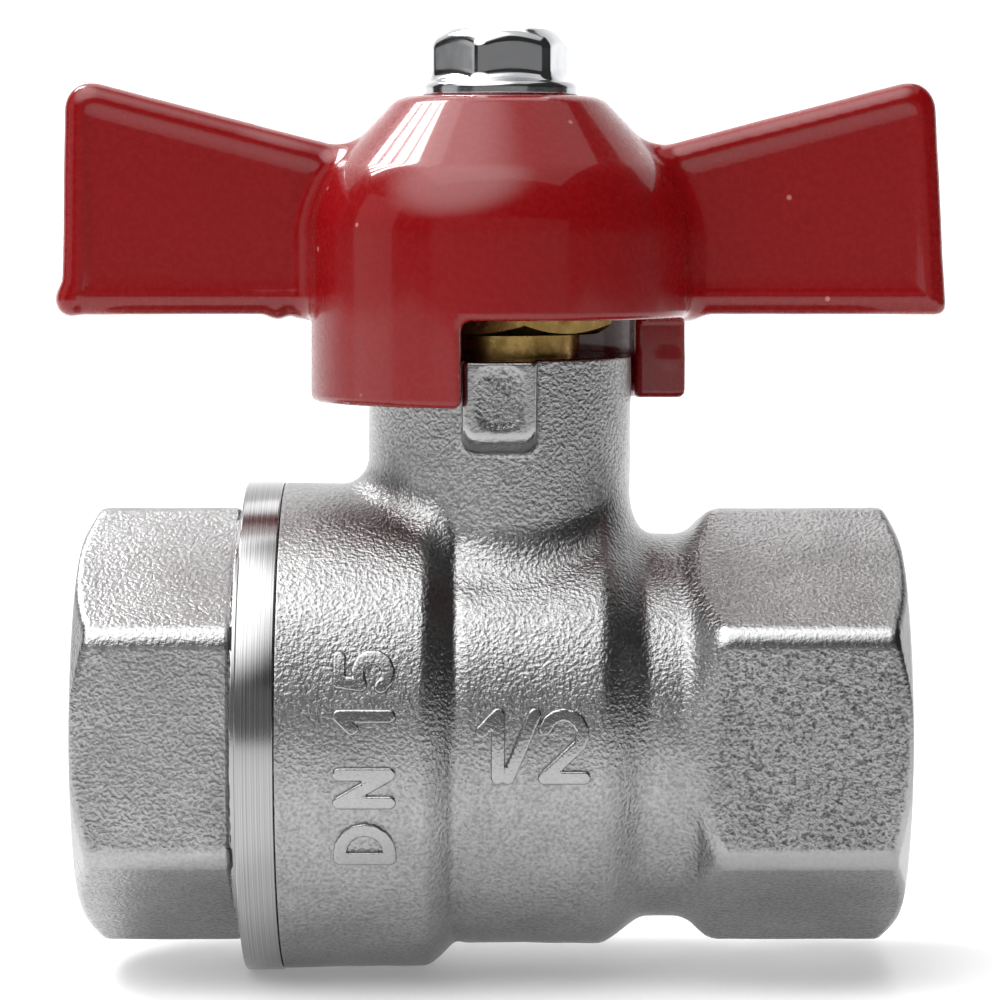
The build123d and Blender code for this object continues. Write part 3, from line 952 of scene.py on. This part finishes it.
def object_place(tree):
    """The place on the object, in metres."""
    return node(tree, "ShaderNodeTexCoord").outputs["Object"]


def mesh_value(tree, name):
    """A value stored on the mesh's vertices."""
    return node(tree, "ShaderNodeAttribute", attribute_name=name).outputs["Fac"]


def nickel_material():
    """Blasted nickel plate, with smooth machined faces where the mesh says so."""
    material, tree, shader = new_material("nickel_plate_blasted", Metallic=1.0)
    place = object_place(tree)
    blasted = mesh_value(tree, "blasted")
    pitted = mesh_value(tree, "pitted")
    fine = noise(tree, place, 4300.0, 2.0, 0.5)
    coarse = noise(tree, place, 1700.0, 2.0, 0.5)
    leather = noise(tree, place, 3400.0, 2.0, 0.6)
    grain = centred(tree, fine, 1.0)
    grain = math_node(tree, "ADD", grain, centred(tree, coarse, 0.16))
    deep = math_node(tree, "MULTIPLY", centred(tree, leather, 0.8), pitted)
    grain = math_node(tree, "ADD", grain, deep)
    grain = math_node(tree, "MULTIPLY", grain, blasted)
    tree.links.new(bump(tree, grain, 0.00012, 0.7), shader.inputs["Normal"])
    shade = ramp(tree, fine, [(0.34, 0.22), (0.5, 0.29), (0.66, 0.34)])
    dark_pits = ramp(tree, leather, [(0.36, 0.42), (0.5, 1.0)])
    pit_shade = mix_colour(tree, pitted, (1.0, 1.0, 1.0), dark_pits)
    shade = mix_colour(tree, 1.0, shade, pit_shade, "MULTIPLY")
    cloud = ramp(tree, noise(tree, place, 260.0, 3.0, 0.5), [(0.3, 0.88), (0.7, 1.08)])
    shade = mix_colour(tree, 1.0, shade, cloud, "MULTIPLY")
    shade = mix_colour(tree, blasted, (0.34, 0.34, 0.34), shade)
    tree.links.new(shade, shader.inputs["Base Color"])
    rough = math_node(tree, "MULTIPLY", blasted, 0.1)
    tree.links.new(math_node(tree, "ADD", rough, 0.2), shader.inputs["Roughness"])
    return material


def turned_material():
    """Polished, lathe-turned nickel: fine rings round the pipe axis."""
    material, tree, shader = new_material("nickel_plate_turned", Metallic=1.0)
    place = object_place(tree)
    split = node(tree, "ShaderNodeSeparateXYZ")
    tree.links.new(place, split.inputs[0])
    join = node(tree, "ShaderNodeCombineXYZ")
    tree.links.new(split.outputs["X"], join.inputs["X"])
    rings = noise(tree, join.outputs[0], 9000.0, 3.0, 0.7)
    tree.links.new(bump(tree, rings, 0.00002, 0.35), shader.inputs["Normal"])
    mapped(tree, rings, [(0.35, 0.22), (0.65, 0.40)], shader, "Base Color")
    mapped(tree, rings, [(0.3, 0.12), (0.7, 0.24)], shader, "Roughness")
    return material


COAT = 0.6                # weight of the red coating's clear top coat


def red_material():
    """Thick, glossy red coating with a few specks, and bare metal where it has chipped."""
    material, tree, shader = new_material(
        "red_gloss_coating",
        Coat_Weight=COAT,
        Coat_Roughness=0.05,
        Coat_IOR=1.5,
        Specular_IOR_Level=0.12,
    )
    place = object_place(tree)
    chipped = mesh_value(tree, "chipped")
    ragged = math_node(tree, "ADD", chipped, noise(tree, place, 1300.0, 3.0, 0.6))
    bare = ramp(tree, ragged, [(1.0, 0.0), (1.08, 1.0)])
    fine = noise(tree, place, 2500.0, 2.0, 0.5)
    shade = ramp(tree, fine, [(0.3, (0.185, 0.0020, 0.0032)), (0.7, (0.208, 0.0028, 0.0042))])
    dust = node(tree, "ShaderNodeTexVoronoi", Scale=230.0)
    tree.links.new(place, dust.inputs["Vector"])
    specks = ramp(tree, dust.outputs["Distance"], [(0.03, 1.0), (0.045, 0.0)])
    shade = mix_colour(tree, specks, shade, (0.42, 0.14, 0.13))
    shade = mix_colour(tree, bare, shade, (0.45, 0.43, 0.41))
    tree.links.new(shade, shader.inputs["Base Color"])
    peel = noise(tree, place, 300.0, 1.0, 0.4)
    height = math_node(tree, "SUBTRACT", peel, bare)
    tree.links.new(bump(tree, height, 0.00003, 0.3), shader.inputs["Normal"])
    mapped(tree, fine, [(0.3, 0.22), (0.7, 0.32)], shader, "Roughness")
    metallic = math_node(tree, "MULTIPLY", bare, COAT)
    tree.links.new(metallic, shader.inputs["Metallic"])
    tree.links.new(math_node(tree, "SUBTRACT", COAT, metallic), shader.inputs["Coat Weight"])
    return material


def metal_material(name, dark, light, rough, scale=900.0):
    """A plain metal with a cloudy tone; dark places are rougher. rough is (low, high)."""
    material, tree, shader = new_material(name, Metallic=1.0)
    place = object_place(tree)
    cloud = noise(tree, place, scale, 4.0, 0.6)
    mapped(tree, cloud, [(0.3, dark), (0.7, light)], shader, "Base Color")
    mapped(tree, cloud, [(0.3, rough[1]), (0.7, rough[0])], shader, "Roughness")
    tree.links.new(bump(tree, cloud, 0.00001, 0.4), shader.inputs["Normal"])
    return material


def polymer_material(name, dark, light, rough):
    """A plain polymer with slight mottling and a faintly uneven surface."""
    material, tree, shader = new_material(name)
    place = object_place(tree)
    cloud = noise(tree, place, 1200.0, 3.0, 0.5)
    mapped(tree, cloud, [(0.3, dark), (0.7, light)], shader, "Base Color")
    mapped(tree, cloud, [(0.3, rough[0]), (0.7, rough[1])], shader, "Roughness")
    tree.links.new(bump(tree, cloud, 0.00002, 0.3), shader.inputs["Normal"])
    return material


def dress(piece, material):
    """Give a piece one material."""
    piece.data.materials.clear()
    piece.data.materials.append(material)


nickel = nickel_material()
turned = turned_material()
brass = metal_material("brass_turned", (0.22, 0.13, 0.035), (0.46, 0.31, 0.11), (0.2, 0.4))
zinc = metal_material(
    "bright_zinc_plate", (0.50, 0.51, 0.53), (0.68, 0.68, 0.69), (0.08, 0.18), 400.0
)
chrome = metal_material(
    "hard_chrome", (0.74, 0.75, 0.76), (0.84, 0.84, 0.85), (0.04, 0.1), 500.0
)
ptfe = polymer_material("ptfe", (0.78, 0.78, 0.76), (0.88, 0.88, 0.86), (0.38, 0.5))
rubber = polymer_material(
    "nitrile_rubber", (0.012, 0.012, 0.012), (0.03, 0.03, 0.03), (0.45, 0.6)
)

for piece in (body_skin, cap_skin, size_mark, bore_mark):
    dress(piece, nickel)
for piece in (cap_ring, *threads):
    dress(piece, turned)
dress(handle_skin, red_material())
dress(nut_skin, zinc)
CAD_MATERIALS = {
    "ball": chrome,
    "stem": brass,
    "gland_nut": brass,
    "seat_cap_side": ptfe,
    "seat_body_side": ptfe,
    "thrust_washer": ptfe,
    "packing_lower": ptfe,
    "packing_upper": ptfe,
    "cap_seal": rubber,
}
for name, material in CAD_MATERIALS.items():
    dress(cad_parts[name], material)


# ---------------------------------------------------------------- stage
FLOOR_Z = cap_low[2]
FLOOR_SIDE = 1600.0
FLOOR_FRONT = -1200.0
WALL_Y = 900.0
WALL_TOP = 1200.0
WALL_CURVE = 300.0
CURVE_STEPS = 12
CAMERA_AIM_Z = 14.6
CAMERA_LENS = 145.0
GLOW_FROM = (-0.36, -0.40, 0.84)
GLOW_LIGHT = 4.0
ROOM_LIGHT = 0.035


def add_stage():
    """A pale floor that curves up into a back wall and glows slightly, as a light table."""
    bend_y = WALL_Y - WALL_CURVE
    outline = [(FLOOR_FRONT, 0.0), (bend_y, 0.0)]
    for i in range(1, CURVE_STEPS + 1):
        angle = i / CURVE_STEPS * math.pi / 2
        outline.append((bend_y + WALL_CURVE * math.sin(angle), WALL_CURVE * (1 - math.cos(angle))))
    outline.append((WALL_Y, WALL_TOP))
    rows = []
    for y, z in outline:
        rows.append((STEM_X - FLOOR_SIDE, y, FLOOR_Z + z))
        rows.append((STEM_X + FLOOR_SIDE, y, FLOOR_Z + z))
    quads = [(2 * i, 2 * i + 1, 2 * i + 3, 2 * i + 2) for i in range(len(outline) - 1)]
    floor = quad_object("floor", np.array(rows) * MM, np.array(quads))
    material, tree, shader = new_material("pale_floor", Roughness=0.6, Emission_Strength=0.26)
    place = object_place(tree)
    cloud = noise(tree, place, 3.0)
    shade = ramp(tree, cloud, [(0.0, 0.83), (1.0, 0.87)])
    tree.links.new(shade, shader.inputs["Base Color"])
    tree.links.new(shade, shader.inputs["Emission Color"])
    dress(floor, material)


def add_area_light(name, place, aim, size, power):
    """A soft rectangular lamp; place and aim are in millimetres."""
    data = bpy.data.lights.new(name, "AREA")
    data.shape = "RECTANGLE"
    data.size, data.size_y = size[0] * MM, size[1] * MM
    data.energy = power
    lamp = bpy.data.objects.new(name, data)
    lamp.location = Vector(place) * MM
    direction = Vector(aim) * MM - lamp.location
    lamp.rotation_euler = direction.to_track_quat("-Z", "Y").to_euler()
    bpy.context.scene.collection.objects.link(lamp)


def add_camera():
    """A long lens in front, level with the handle, aimed at the middle of the valve."""
    eye = Vector((STEM_X, -260.0, 33.7)) * MM
    aim = Vector((STEM_X, 0.0, CAMERA_AIM_Z)) * MM
    data = bpy.data.cameras.new("camera")
    data.sensor_width = 36.0
    data.lens = CAMERA_LENS
    data.clip_start = 0.01
    camera = bpy.data.objects.new("camera", data)
    camera.location = eye
    camera.rotation_euler = (aim - eye).to_track_quat("-Z", "Y").to_euler()
    bpy.context.scene.collection.objects.link(camera)
    bpy.context.scene.camera = camera


def add_world():
    """A dim room whose ceiling glows softly in front of the valve, to the left."""
    world = bpy.data.worlds.new("studio")
    bpy.context.scene.world = world
    world.use_nodes = True
    tree = world.node_tree
    towards = node(tree, "ShaderNodeTexCoord").outputs["Generated"]
    facing = node(tree, "ShaderNodeVectorMath", operation="DOT_PRODUCT")
    tree.links.new(towards, facing.inputs[0])
    facing.inputs[1].default_value = Vector(GLOW_FROM).normalized()
    glow = node(
        tree,
        "ShaderNodeMapRange",
        interpolation_type="SMOOTHSTEP",
        From_Min=0.76,
        From_Max=0.98,
        To_Min=ROOM_LIGHT,
        To_Max=GLOW_LIGHT,
    )
    tree.links.new(facing.outputs["Value"], glow.inputs["Value"])
    tree.links.new(glow.outputs["Result"], tree.nodes["Background"].inputs["Color"])


add_stage()
centre = (STEM_X, 0.0, 12.0)
add_area_light("top", (STEM_X, -20, 420), centre, (500, 400), 0.5)
add_area_light("top_back", (STEM_X - 70, 170, 360), centre, (360, 240), 0.52)
add_area_light("front_fill", (STEM_X, -700, 60), centre, (1200, 500), 0.39)
add_area_light("left_soft", (STEM_X - 360, -60, 90), centre, (200, 300), 0.1)
add_area_light("backdrop", (STEM_X, 300, 300), (STEM_X, 900, 100), (900, 200), 2.0)
for pane in range(4):
    across = 30.0 * (pane - 1.5)
    place = (STEM_X - 204 + 0.57 * across, 142 + 0.82 * across, 326)
    add_area_light(f"window_{pane}", place, centre, (20, 150), 0.24)
add_camera()
add_world()
bpy.context.scene.view_settings.view_transform = "Standard"
